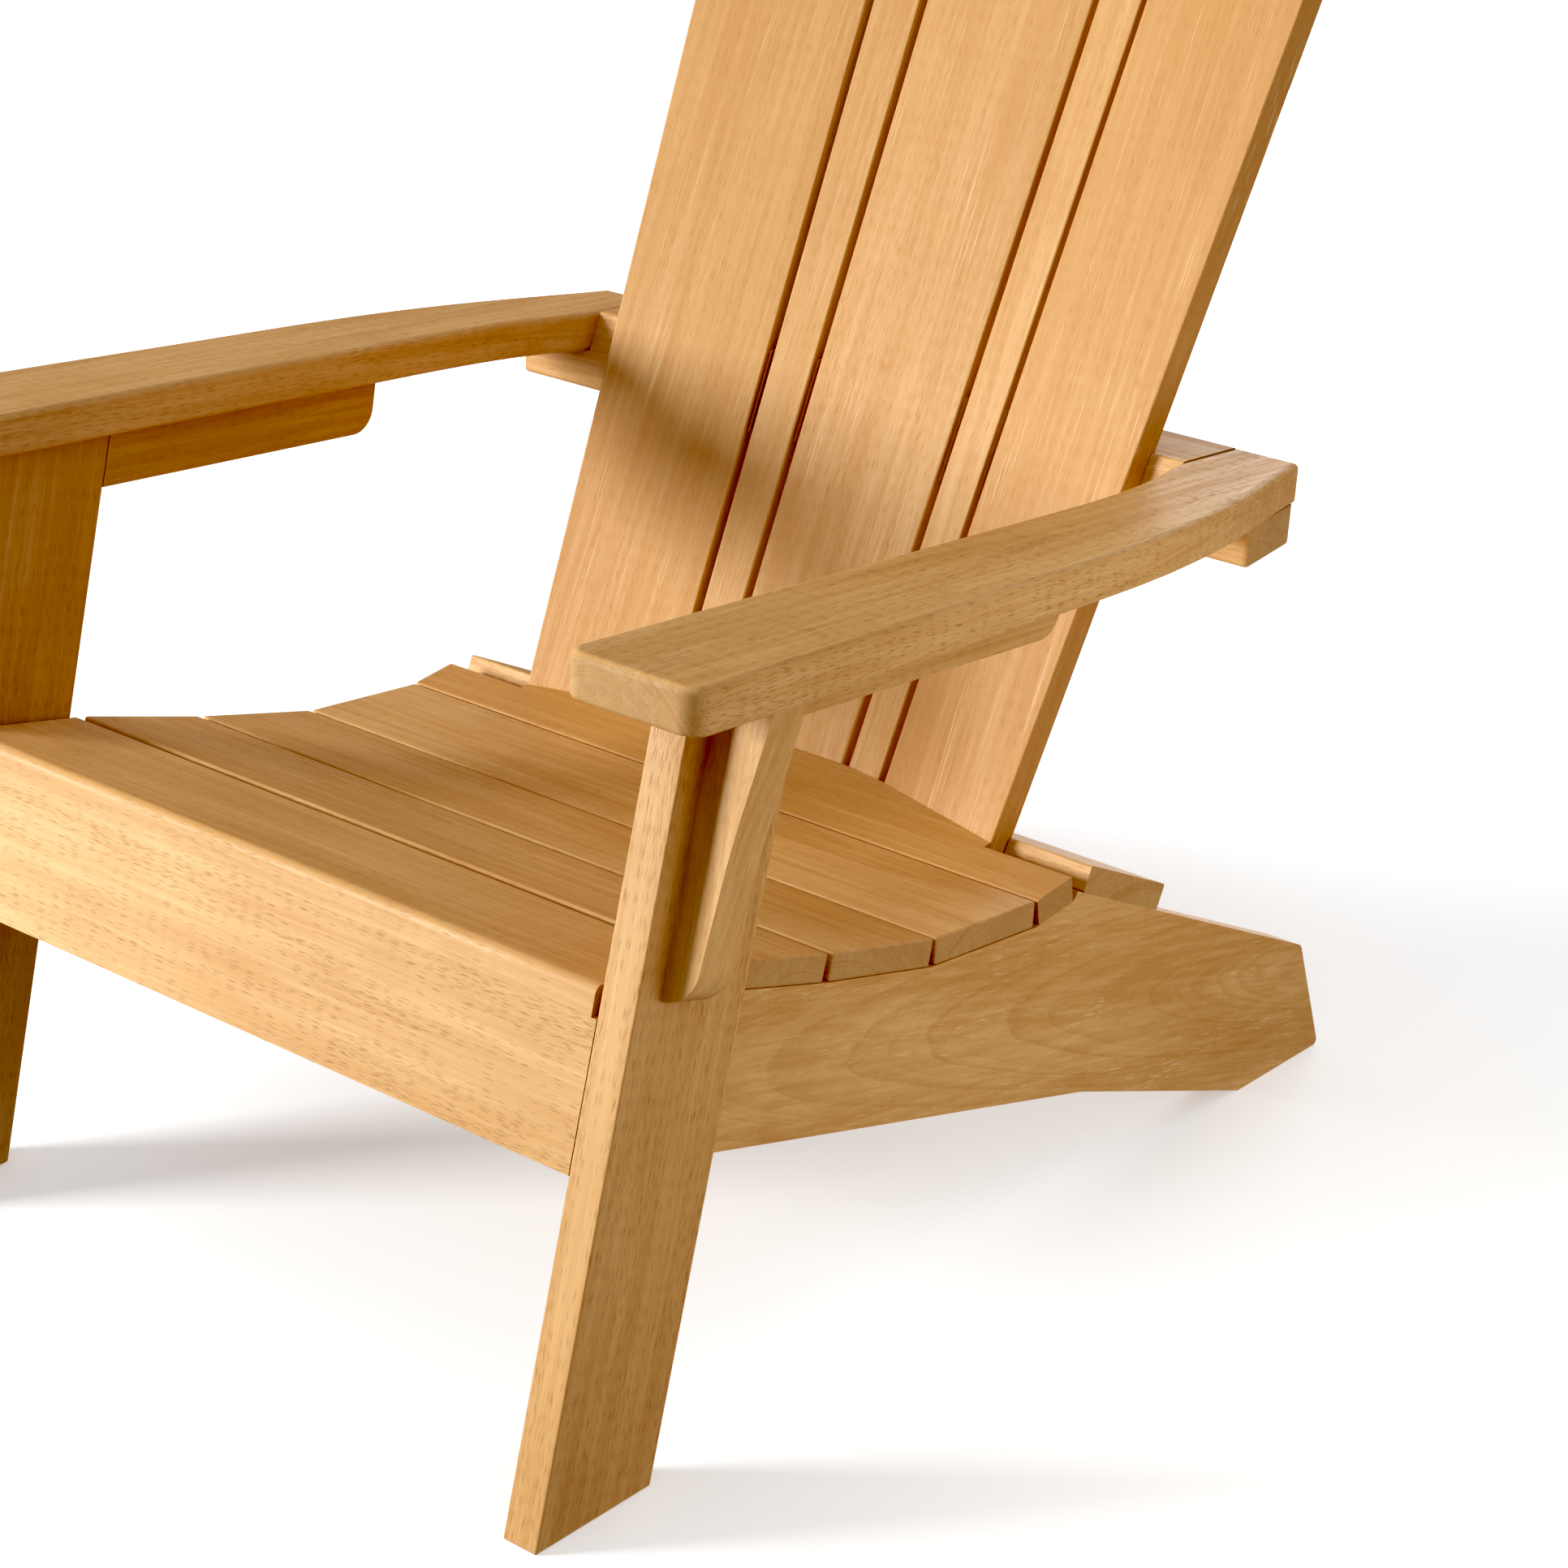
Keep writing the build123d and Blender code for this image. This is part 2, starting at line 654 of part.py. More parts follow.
# ---- curved batten that ties the tops of the boards together ----
with BuildPart() as batten:
    batten_plane = Plane(origin=back_origin + back_up * batten_low, x_dir=(1, 0, 0), z_dir=back_up)
    end_depth = behind(batten_half)
    with BuildSketch(batten_plane):
        with BuildLine():
            ThreePointArc(
                (-batten_half, end_depth + batten_thick),
                (0, board_thick + batten_thick),
                (batten_half, end_depth + batten_thick),
            )
            Polyline(
                (batten_half, end_depth + batten_thick),
                (batten_half, end_depth - 4),
                (-batten_half, end_depth - 4),
                (-batten_half, end_depth + batten_thick),
            )
        make_face()
    extrude(amount=batten_high - batten_low)
    fillet(batten.edges().filter_by(GeomType.CIRCLE), bar_edge)
    add(back_ahead.part, mode=Mode.SUBTRACT)
    add(batten_dowels.part, mode=Mode.SUBTRACT)

# ---- arms ----
with BuildPart() as arm_left:
    with BuildSketch(arm_plan) as arm_outline:
        arm_end = along_arm(arm_back)
        with BuildLine():
            Line((arm_inner, 0), (arm_outer, 0))
            Spline(
                (arm_outer, 0),
                *arm_outer_curve,
                (arm_tail_outer, arm_end),
                tangents=[(-0.03, 1), (-0.22, 1)],
            )
            Line((arm_tail_outer, arm_end), (arm_tail_inner, arm_end))
            Line((arm_tail_inner, arm_end), (arm_tail_inner, along_arm(arm_inner_end)))
            Spline(
                (arm_tail_inner, along_arm(arm_inner_end)),
                arm_inner_curve,
                (arm_inner, arm_inner_bend),
                tangents=[(0, -1), (0, -1)],
            )
            Line((arm_inner, arm_inner_bend), (arm_inner, 0))
        make_face()
        fillet(arm_outline.vertices().group_by(Axis.Y)[0], arm_corner)
    extrude(amount=arm_thick)
    upper_face = arm_left.faces().filter_by(lambda f: f.normal_at().dot(Vector(*arm_normal)) > 0.99)
    fillet(upper_face.edges(), arm_edge)
    lower_face = arm_left.faces().filter_by(lambda f: f.normal_at().dot(Vector(*arm_normal)) < -0.99)
    fillet(lower_face.edges(), arm_low_edge)

with BuildPart() as arm_right:
    mirror(arm_left.part, about=Plane.YZ)

# ---- rails under the arms, behind the legs ----
leg_lean = tan(radians(leg_rake - arm_drop))
low_corner = (along_arm(under_rail_end) - under_rail_drawn_in, -under_rail_deep)
with BuildPart() as under_rail_left:
    with BuildSketch(arm_side(leg_gap / 2)) as under_rail_outline:
        with BuildLine():
            Polyline(
                (rail_start, 0),
                (rail_start - leg_lean * under_rail_deep, -under_rail_deep),
                low_corner,
                (along_arm(under_rail_end), 0),
                close=True,
            )
        make_face()
        fillet(under_rail_outline.vertices().sort_by_distance((*low_corner, 0))[0], under_rail_corner)
    extrude(amount=leg_thick)
    add(rail_dowels.part, mode=Mode.SUBTRACT)
    add(rail_screws.part, mode=Mode.SUBTRACT)

with BuildPart() as under_rail_right:
    mirror(under_rail_left.part, about=Plane.YZ)

# ---- corbels on the outer faces of the legs ----
corbel_start = Vector(leg_gap / 2 + leg_thick, leg_front(corbel_low) + corbel_set_back - mid, corbel_low)
corbel_out = (0, -cos(radians(leg_rake)), sin(radians(leg_rake)))
corbel_face = Plane(origin=corbel_start, x_dir=(1, 0, 0), z_dir=corbel_out)
corbel_top = corbel_flare[-1]
with BuildPart() as corbel_left:
    with BuildSketch(corbel_face):
        with BuildLine():
            Line((0, corbel_top[1]), corbel_foot[0])
            ThreePointArc(*corbel_foot)
            Spline(*corbel_flare)
            Line(corbel_top, (0, corbel_top[1]))
        make_face()
    extrude(amount=-corbel_thick)
    with BuildSketch(arm_plan):
        with Locations((leg_gap / 2 + leg_thick + 30, 100)):
            Rectangle(120, 200)
    extrude(amount=90, mode=Mode.SUBTRACT)
    add(corbel_dowels.part, mode=Mode.SUBTRACT)

with BuildPart() as corbel_right:
    mirror(corbel_left.part, about=Plane.YZ)

# ---- crossbars behind the back: one between the arms, one under them ----
with BuildPart() as upper_crossbar:
    with BuildSketch(arm_side(-arm_tail_inner)):
        with BuildLine():
            Polyline(
                (upper_bar_front, 0),
                (along_arm(arm_back), 0),
                (along_arm(arm_back), arm_thick),
                (upper_bar_front + upper_bar_lean, arm_thick),
                close=True,
            )
        make_face()
    extrude(amount=2 * arm_tail_inner)
    fillet(upper_crossbar.edges().filter_by(Axis.X).sort_by(Axis.Z)[-2:], bar_edge)
    add(back_ahead.part, mode=Mode.SUBTRACT)
    add(crossbar_dowels.part, mode=Mode.SUBTRACT)
    add(crossbar_screws.part, mode=Mode.SUBTRACT)

with BuildPart() as lower_crossbar:
    with BuildSketch(arm_plan) as lower_outline:
        with BuildLine():
            Polyline(
                (-lower_bar_half, lower_bar_front),
                (lower_bar_half, lower_bar_front),
                (lower_bar_rear_half, along_arm(arm_back) - 1),
                (-lower_bar_rear_half, along_arm(arm_back) - 1),
                close=True,
            )
        make_face()
        fillet(lower_outline.vertices(), 4)
    extrude(amount=-crossbar_deep)
    fillet(lower_crossbar.faces().sort_by(Axis.Z)[0].edges(), bar_edge)
    add(back_ahead.part, mode=Mode.SUBTRACT)
    add(crossbar_screws.part, mode=Mode.SUBTRACT)

# ---- holes in the arms for the dowels and screws that come up from below ----
for arm in (arm_left, arm_right):
    with arm:
        add(arm_dowels.part, mode=Mode.SUBTRACT)
        add(rail_screws.part, mode=Mode.SUBTRACT)
        add(crossbar_dowels.part, mode=Mode.SUBTRACT)
        add(crossbar_screws.part, mode=Mode.SUBTRACT)

save(leg_left, "front_leg_left")
save(leg_right, "front_leg_right")
save(apron, "front_apron")
save(side_rail_left, "side_stringer_left")
save(side_rail_right, "side_stringer_right")
save(slat_1, "seat_slat_1")
for number, slat in enumerate(middle_slats):
    save(slat, f"seat_slat_{number + 2}")
save(slat_5, "seat_slat_5")
save(rear_slat, "rear_seat_slat")
save(centre_board, "back_board_centre")
save(narrow_board_left, "back_board_narrow_left")
save(narrow_board_right, "back_board_narrow_right")
save(outer_board_left, "back_board_wide_left")
save(outer_board_right, "back_board_wide_right")
save(batten, "back_top_batten")
save(arm_left, "arm_left")
save(arm_right, "arm_right")
save(under_rail_left, "arm_rail_left")
save(under_rail_right, "arm_rail_right")
save(corbel_left, "arm_corbel_left")
save(corbel_right, "arm_corbel_right")
save(upper_crossbar, "upper_crossbar")
save(lower_crossbar, "lower_crossbar")
save(leg_bolts, "leg_bolts")
save(bolt_washers, "bolt_washers")
save(leg_spacers, "leg_spacers")
save(leg_inserts, "leg_inserts")
save(seat_dowels, "seat_dowels")
save(apron_dowels, "apron_dowels")
save(corbel_dowels, "corbel_dowels")
save(rail_dowels, "arm_rail_dowels")
save(arm_dowels, "arm_dowels")
save(crossbar_dowels, "crossbar_dowels")
save(back_dowels, "back_dowels")
save(batten_dowels, "batten_dowels")
save(rail_screws, "arm_rail_screws")
save(crossbar_screws, "crossbar_screws")
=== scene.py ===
import math

import bpy
from mathutils import Matrix, Vector


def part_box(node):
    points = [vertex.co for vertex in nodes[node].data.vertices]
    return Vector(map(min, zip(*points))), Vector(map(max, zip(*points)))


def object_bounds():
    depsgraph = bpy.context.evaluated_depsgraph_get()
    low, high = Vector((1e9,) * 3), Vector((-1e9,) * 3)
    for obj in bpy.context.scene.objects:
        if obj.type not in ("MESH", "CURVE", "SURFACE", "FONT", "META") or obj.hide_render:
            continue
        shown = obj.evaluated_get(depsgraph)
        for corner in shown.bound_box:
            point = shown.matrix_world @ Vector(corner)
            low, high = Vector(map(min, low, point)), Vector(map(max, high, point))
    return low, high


# Adirondack chair in oiled golden hardwood. Metres, +Z up, the sitter faces -Y, +X is the sitter's left.

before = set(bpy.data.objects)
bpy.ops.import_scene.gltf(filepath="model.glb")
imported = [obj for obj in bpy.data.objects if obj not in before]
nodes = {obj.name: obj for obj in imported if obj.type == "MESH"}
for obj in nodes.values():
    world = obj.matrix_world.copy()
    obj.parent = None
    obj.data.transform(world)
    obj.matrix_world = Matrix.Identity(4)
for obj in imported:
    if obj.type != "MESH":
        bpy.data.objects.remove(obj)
cad_low, cad_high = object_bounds()


def colour(red, green, blue):
    return (red, green, blue, 1.0)


# ---- wood colours ----
PALE = colour(0.72, 0.458, 0.205)
GOLDEN = colour(0.59, 0.342, 0.132)
AMBER = colour(0.47, 0.240, 0.080)
LATE = colour(0.40, 0.195, 0.065)       # late wood of a growth ring
PORE = colour(0.20, 0.085, 0.025)
STREAK = colour(0.82, 0.58, 0.32)       # pale flecks along the grain
END = colour(0.42, 0.27, 0.125)         # cut ends
RING = 0.0034                           # width of a year's growth

# ---- layers of the wood: how often each repeats in a metre, along the grain, across it and through it ----
DRIFT = (1.6, 7.0, 7.0)                 # slow wander of the rings
DRIFT_REACH = 0.013
RIPPLE = (9.0, 60.0, 60.0)              # quick wander of the rings
RIPPLE_REACH = 0.0022
PATCHES = (3.0, 16.0, 16.0)
COARSE_FIBRES = (4.0, 170.0, 170.0)
FINE_FIBRES = (14.0, 900.0, 900.0)
PORE_CELLS = (75.0, 1650.0, 1650.0)
PORE_CROWDS = (6.0, 55.0, 55.0)
HAIRS = (8.0, 620.0, 620.0)
TUFTS = (9.0, 32.0, 32.0)
SHIMMER = (22.0, 14.0, 14.0)
SEED_STEP = 1.7                         # from one board's place in the log to the next one's
NOWHERE = (0.0, 0.0, 0.0)

# ---- directions of the grain and of the wide faces; the angles are in radians ----
LEG_RAKE = math.radians(16.2)
BACK_RAKE = math.radians(26.8)
ARM_FALL = math.radians(4.67)
TAIL_FALL = math.radians(26.4)
RAIL_FALL = 0.25
across = Vector((1, 0, 0))
upward = Vector((0, 0, 1))
up_leg = Vector((0, math.sin(LEG_RAKE), math.cos(LEG_RAKE)))
leg_front = Vector((0, -math.cos(LEG_RAKE), math.sin(LEG_RAKE)))
up_back = Vector((0, math.sin(BACK_RAKE), math.cos(BACK_RAKE)))
back_front = Vector((0, -math.cos(BACK_RAKE), math.sin(BACK_RAKE)))
along_arm = Vector((0, math.cos(ARM_FALL), -math.sin(ARM_FALL)))
arm_up = Vector((0, math.sin(ARM_FALL), math.cos(ARM_FALL)))
down_rail = Vector((0, math.cos(RAIL_FALL), -math.sin(RAIL_FALL)))
tail_up = Vector((0, math.sin(TAIL_FALL), math.cos(TAIL_FALL)))

# Each board: grain, wide face, where the pith lies (across and through the board), how far it leans off the
# board in degrees, then the strengths of amber (below zero is pale), rings, pores and pale streaks.
BOARDS = {
    "front_leg_left": (up_leg, across, (0.020, -0.110), 0.6, 0.22, 0.6, 0.55, 0.15),
    "front_leg_right": (up_leg, across, (-0.015, -0.120), 0.7, 0.40, 0.6, 0.50, 0.15),
    "front_apron": (across, leg_front, (0.085, -0.16), 0.5, 0.0, 0.5, 0.60, 0.25),
    "side_stringer_left": (down_rail, across, (0.012, -0.060), -5.0, 0.0, 0.8, 0.10, 0.55),
    "side_stringer_right": (down_rail, across, (-0.010, 0.065), -4.4, 0.05, 0.8, 0.15, 0.50),
    "seat_slat_1": (across, upward, (0.10, -0.12), 0.6, 0.12, 0.6, 0.30, 0.15),
    "seat_slat_2": (across, upward, (0.01, -0.05), 1.8, 0.15, 0.8, 0.25, 0.20),
    "seat_slat_3": (across, upward, (-0.06, -0.07), -1.4, 0.12, 0.6, 0.25, 0.15),
    "seat_slat_4": (across, upward, (0.03, -0.10), 1.2, 0.15, 0.7, 0.25, 0.15),
    "seat_slat_5": (across, upward, (-0.05, -0.06), -1.0, 0.75, 0.6, 0.20, 0.15),
    "rear_seat_slat": (across, tail_up, (0.04, -0.08), 1.0, 0.05, 0.7, 0.30, 0.20),
    "back_board_centre": (up_back, back_front, (0.05, -0.22), 0.8, 0.50, 0.35, 0.15, 0.40),
    "back_board_narrow_left": (up_back, back_front, (-0.08, -0.12), 0.6, 0.42, 0.35, 0.15, 0.35),
    "back_board_narrow_right": (up_back, back_front, (0.09, -0.10), 0.5, 0.50, 0.35, 0.15, 0.35),
    "back_board_wide_left": (up_back, back_front, (-0.06, -0.18), -0.9, 0.66, 0.40, 0.15, 0.45),
    "back_board_wide_right": (up_back, back_front, (0.10, -0.20), 0.7, 0.52, 0.35, 0.15, 0.35),
    "back_top_batten": (across, back_front, (0.02, -0.06), 1.2, 0.1, 0.7, 0.30, 0.20),
    "arm_left": (along_arm, arm_up, (0.012, -0.060), 0.9, 0.05, 0.6, 0.60, 0.15),
    "arm_right": (along_arm, arm_up, (-0.05, -0.090), 0.7, 0.05, 0.6, 0.45, 0.15),
    "arm_rail_left": (along_arm, across, (0.02, -0.06), 1.3, 0.12, 0.8, 0.40, 0.15),
    "arm_rail_right": (along_arm, across, (-0.02, -0.05), -1.5, 0.45, 0.9, 0.35, 0.10),
    "arm_corbel_left": (up_leg, leg_front, (0.02, -0.05), 3.0, 0.0, 0.7, 0.15, 0.30),
    "arm_corbel_right": (up_leg, leg_front, (-0.02, -0.05), -3.0, 0.05, 0.7, 0.15, 0.30),
    "upper_crossbar": (across, arm_up, (0.03, -0.07), 1.0, 0.10, 0.7, 0.35, 0.20),
    "lower_crossbar": (across, arm_up, (-0.03, -0.06), -1.2, 0.05, 0.8, 0.25, 0.25),
}

# ---- studio: metres, watts, and sky strengths ----
MIDDLE = Vector((0, -0.1, 0.42))        # what the key and the rear light look at
KEY_PLACE = (-43.0, 13.5, 4.6)          # azimuth from the front, elevation, distance
KEY_SIZE = 1.2
KEY_POWER = 308.0
KEY_TINT = (1.0, 0.992, 0.98)
FILL_TARGET = Vector((0.3, 0.1, 0.35))
FILL_PLACE = Vector((1.1, 0.05, 0.30))
FILL_SIZE = 0.8
FILL_POWER = 4.0
FILL_TINT = (1.0, 0.91, 0.80)
REAR_PLACE = Vector((-0.8, 3.1, 0.75))
REAR_SIZE = 1.5
REAR_POWER = 45.0
REAR_TINT = (1.0, 0.98, 0.95)
SKY_TINT = colour(1.0, 0.995, 0.985)
SKY_HIGH = 0.74
SKY_LOW = 0.04
FLOOR_BOUNCE = 0.40
BACKDROP = 1.1
FLOOR_SIZE = 30.0                       # half the floor's width
FLOOR_COLOUR = colour(0.735, 0.75, 0.77)
FLOOR_GLOW = (0.36, 0.75)               # near the chair and far from it
BLACK = (0.046, 0.060, 0.052)           # deep shades stay warm


# ---- small helpers for node trees ----
def add_node(tree, kind, inputs=None, **settings):
    """A new shader node with its settings and constant inputs."""
    made = tree.nodes.new(kind)
    for name, value in settings.items():
        setattr(made, name, value)
    for name, value in (inputs or {}).items():
        made.inputs[name].default_value = value
    return made


def put(tree, value, socket):
    """Links a socket, or sets a constant."""
    if isinstance(value, bpy.types.NodeSocket):
        tree.links.new(value, socket)
    else:
        socket.default_value = value


def calc(tree, operation, a, b=0.0, clamp=False):
    made = add_node(tree, "ShaderNodeMath", operation=operation, use_clamp=clamp)
    put(tree, a, made.inputs[0])
    put(tree, b, made.inputs[1])
    return made.outputs[0]


def vector_calc(tree, operation, a, b, out="Vector"):
    made = add_node(tree, "ShaderNodeVectorMath", operation=operation)
    put(tree, a, made.inputs[0])
    put(tree, b, made.inputs[1])
    return made.outputs[out]


def blend(tree, factor, a, b):
    """Mixes two colours."""
    made = add_node(tree, "ShaderNodeMix", data_type="RGBA")
    put(tree, factor, made.inputs[0])
    put(tree, a, made.inputs[6])
    put(tree, b, made.inputs[7])
    return made.outputs[2]


def remap(tree, value, low, high, to_low=0.0, to_high=1.0):
    """Carries one range smoothly into another, and holds the ends."""
    limits = {"From Min": low, "From Max": high, "To Min": to_low, "To Max": to_high}
    made = add_node(tree, "ShaderNodeMapRange", limits, clamp=True, interpolation_type="SMOOTHSTEP")
    put(tree, value, made.inputs["Value"])
    return made.outputs["Result"]


def stretch(tree, place, scale, shift=NOWHERE):
    """Scales a place along the grain, across it and through the board, then shifts it."""
    return vector_calc(tree, "ADD", vector_calc(tree, "MULTIPLY", place, scale), shift)


def noise(tree, place, detail=2.0, roughness=0.5, out="Fac"):
    made = add_node(tree, "ShaderNodeTexNoise", {"Scale": 1.0, "Detail": detail, "Roughness": roughness})
    tree.links.new(place, made.inputs["Vector"])
    return made.outputs[out]


def noise_along(tree, value, scale, detail):
    """Noise that changes along one number."""
    inputs = {"Scale": scale, "Detail": detail}
    made = add_node(tree, "ShaderNodeTexNoise", inputs, noise_dimensions="1D")
    tree.links.new(value, made.inputs["W"])
    return made.outputs["Fac"]


def wander(tree, place, scale, shift, roughness, reach):
    """A wobble sideways of up to half the reach, that changes slowly along the grain."""
    wobble = noise(tree, stretch(tree, place, scale, shift), 2.0, roughness, "Color")
    wobble = vector_calc(tree, "SUBTRACT", wobble, (0.5, 0.5, 0.5))
    return vector_calc(tree, "MULTIPLY", wobble, (0.0, reach, reach))


def new_material(name):
    """A material with its node tree and its shader."""
    material = bpy.data.materials.new(name)
    material.use_nodes = True
    tree = material.node_tree
    return material, tree, tree.nodes["Principled BSDF"]


def bump(tree, shader, height, strength, distance):
    made = add_node(tree, "ShaderNodeBump", {"Strength": strength, "Distance": distance})
    tree.links.new(height, made.inputs["Height"])
    tree.links.new(made.outputs["Normal"], shader.inputs["Normal"])


# ---- wood ----
def board_frame(centre, grain, face, pith, lean):
    """Texture frame: x along the grain, its origin on the pith, leaning a little off the board."""
    grain = grain.normalized()
    side = face.cross(grain).normalized()
    normal = grain.cross(side)
    tilt = Matrix.Rotation(math.radians(lean), 3, side)
    axes = Matrix((tilt @ grain, side, tilt @ normal)).transposed()
    origin = centre + side * pith[0] + normal * pith[1]
    return origin, axes.to_euler()


def growth_rings(tree, local, shift, seed):
    """How much late wood there is, from rings round the pith that wander along the log."""
    drift = wander(tree, local, DRIFT, shift, 0.45, DRIFT_REACH)
    ripple = wander(tree, local, RIPPLE, shift, 0.5, RIPPLE_REACH)
    bent = vector_calc(tree, "ADD", vector_calc(tree, "ADD", local, drift), ripple)
    sideways = vector_calc(tree, "MULTIPLY", bent, (0.0, 1.0, 1.0))
    radius = vector_calc(tree, "LENGTH", sideways, NOWHERE, "Value")
    years = calc(tree, "MULTIPLY", radius, 1.0 / RING)
    uneven = noise_along(tree, calc(tree, "ADD", years, seed * 11.0), 0.21, 2.0)
    years = calc(tree, "ADD", years, calc(tree, "MULTIPLY", uneven, 5.0))
    season = calc(tree, "FRACT", years)
    summer = remap(tree, season, 0.25, 0.93)
    winter = remap(tree, season, 0.93, 1.0, 1.0, 0.0)
    late = calc(tree, "MULTIPLY", summer, winter)
    bold = noise_along(tree, calc(tree, "ADD", years, seed * 5.0), 0.5, 1.0)
    return calc(tree, "MULTIPLY", late, remap(tree, bold, 0.3, 0.75, 0.25, 1.0))


def dark_pores(tree, local, shift):
    """Short dark dashes along the grain, thicker in some places than in others."""
    cells = add_node(tree, "ShaderNodeTexVoronoi", {"Scale": 1.0, "Randomness": 1.0})
    tree.links.new(stretch(tree, local, PORE_CELLS, shift), cells.inputs["Vector"])
    spread = add_node(tree, "ShaderNodeSeparateColor")
    tree.links.new(cells.outputs["Color"], spread.inputs["Color"])
    thick = noise(tree, stretch(tree, local, PORE_CROWDS, shift))
    share = remap(tree, thick, 0.35, 0.68, 0.25, 0.90)
    chosen = calc(tree, "LESS_THAN", spread.outputs["Red"], share)
    dash = remap(tree, cells.outputs["Distance"], 0.18, 0.42, 1.0, 0.0)
    return calc(tree, "MULTIPLY", dash, chosen)


def pale_streaks(tree, local, shift):
    """Thin pale hairs along the grain, in tufts."""
    hairs = noise(tree, stretch(tree, local, HAIRS, shift), 1.0)
    tufts = noise(tree, stretch(tree, local, TUFTS, shift))
    return calc(tree, "MULTIPLY", remap(tree, hairs, 0.60, 0.72), remap(tree, tufts, 0.42, 0.62))


def wood(name, centre, seed, grain, face, pith, lean, tone, figure, pores, streaks):
    """Oiled golden hardwood for one board, with the growth rings of its own place in the log."""
    material, tree, shader = new_material(name)
    origin, turn = board_frame(centre, grain, face, pith, lean)
    place = add_node(tree, "ShaderNodeTexCoord").outputs["Object"]
    on_board = {"Location": origin, "Rotation": turn}
    mapping = add_node(tree, "ShaderNodeMapping", on_board, vector_type="TEXTURE")
    tree.links.new(place, mapping.inputs["Vector"])
    local = mapping.outputs["Vector"]
    shift = (seed * 3.7, seed * 5.1, seed * 2.3)

    late = growth_rings(tree, local, shift, seed)
    fine = noise(tree, stretch(tree, local, FINE_FIBRES, shift), 2.0, 0.6)
    coarse = noise(tree, stretch(tree, local, COARSE_FIBRES, shift), 3.0, 0.6)
    patch = noise(tree, stretch(tree, local, PATCHES, shift), 3.0, 0.55)
    shimmer = noise(tree, stretch(tree, local, SHIMMER, shift))
    pore = dark_pores(tree, local, shift)
    streak = pale_streaks(tree, local, shift)

    # broad patches, then rings, fibres, streaks, pores and a soft shimmer
    base = blend(tree, remap(tree, patch, 0.30, 0.72), PALE, GOLDEN)
    base = blend(tree, max(0.0, tone), base, AMBER)
    base = blend(tree, max(0.0, -tone), base, PALE)
    base = blend(tree, calc(tree, "MULTIPLY", late, 0.42 * figure), base, LATE)
    base = blend(tree, remap(tree, coarse, 0.35, 0.68, 0.0, 0.10 + 0.32 * figure), base, AMBER)
    base = blend(tree, remap(tree, coarse, 0.55, 0.25, 0.0, 0.08 + 0.30 * figure), base, PALE)
    base = blend(tree, remap(tree, fine, 0.40, 0.75, 0.0, 0.22), base, AMBER)
    base = blend(tree, calc(tree, "MULTIPLY", streak, streaks), base, STREAK)
    base = blend(tree, calc(tree, "MULTIPLY", pore, pores), base, PORE)
    base = blend(tree, remap(tree, shimmer, 0.48, 0.72, 0.0, 0.16), base, AMBER)

    # cut ends soak up oil: greyer and darker
    normal = add_node(tree, "ShaderNodeNewGeometry").outputs["Normal"]
    facing = vector_calc(tree, "DOT_PRODUCT", normal, tuple(grain.normalized()), "Value")
    cut = remap(tree, calc(tree, "ABSOLUTE", facing), 0.62, 0.92)
    ends = blend(tree, calc(tree, "MULTIPLY", late, 0.6), END, LATE)
    ends = blend(tree, calc(tree, "MULTIPLY", pore, 0.45), ends, PORE)
    base = blend(tree, calc(tree, "MULTIPLY", cut, 0.62), base, ends)
    tree.links.new(base, shader.inputs["Base Color"])

    # sheen of the oil, a little drier in the pores and on the cut ends
    sheen = remap(tree, coarse, 0.3, 0.7, 0.46, 0.58)
    rough = calc(tree, "ADD", sheen, calc(tree, "MULTIPLY", pore, 0.15))
    rough = calc(tree, "ADD", rough, calc(tree, "MULTIPLY", cut, 0.12), True)
    tree.links.new(rough, shader.inputs["Roughness"])
    shader.inputs["IOR"].default_value = 1.42
    shader.inputs["Specular IOR Level"].default_value = 0.42

    height = calc(tree, "MULTIPLY", pore, -1.0)
    for layer, share in ((fine, 0.45), (coarse, 0.35), (late, 0.25)):
        height = calc(tree, "ADD", height, calc(tree, "MULTIPLY", layer, share))
    bump(tree, shader, height, 0.35, 0.00025)
    return material


# ---- metal and plastic ----
def metal(name, tint, rough):
    """Turned or rolled metal with fine marks."""
    material, tree, shader = new_material(name)
    place = add_node(tree, "ShaderNodeTexCoord").outputs["Object"]
    marks = noise(tree, stretch(tree, place, (900.0, 900.0, 900.0)), 3.0)
    stain = noise(tree, stretch(tree, place, (90.0, 90.0, 90.0)))
    dull = colour(*(part * 0.72 for part in tint[:3]))
    tree.links.new(blend(tree, remap(tree, stain, 0.3, 0.7), tint, dull), shader.inputs["Base Color"])
    tree.links.new(remap(tree, marks, 0.3, 0.7, rough - 0.06, rough + 0.1), shader.inputs["Roughness"])
    shader.inputs["Metallic"].default_value = 1.0
    bump(tree, shader, marks, 0.2, 0.0001)
    return material


def nylon(name):
    """Black moulded plastic."""
    material, tree, shader = new_material(name)
    place = add_node(tree, "ShaderNodeTexCoord").outputs["Object"]
    grit = noise(tree, stretch(tree, place, (1500.0, 1500.0, 1500.0)))
    black, worn = colour(0.012, 0.012, 0.013), colour(0.03, 0.03, 0.032)
    tree.links.new(blend(tree, remap(tree, grit, 0.3, 0.7), black, worn), shader.inputs["Base Color"])
    tree.links.new(remap(tree, grit, 0.3, 0.7, 0.5, 0.65), shader.inputs["Roughness"])
    return material


# ---- materials on the pieces ----
def paint(name, material):
    mesh = nodes[name].data
    mesh.materials.clear()
    mesh.materials.append(material)


def finish_boards():
    for number, (name, facts) in enumerate(BOARDS.items()):
        low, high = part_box(name)
        paint(name, wood(f"wood_{name}", (low + high) / 2, number * SEED_STEP, *facts))


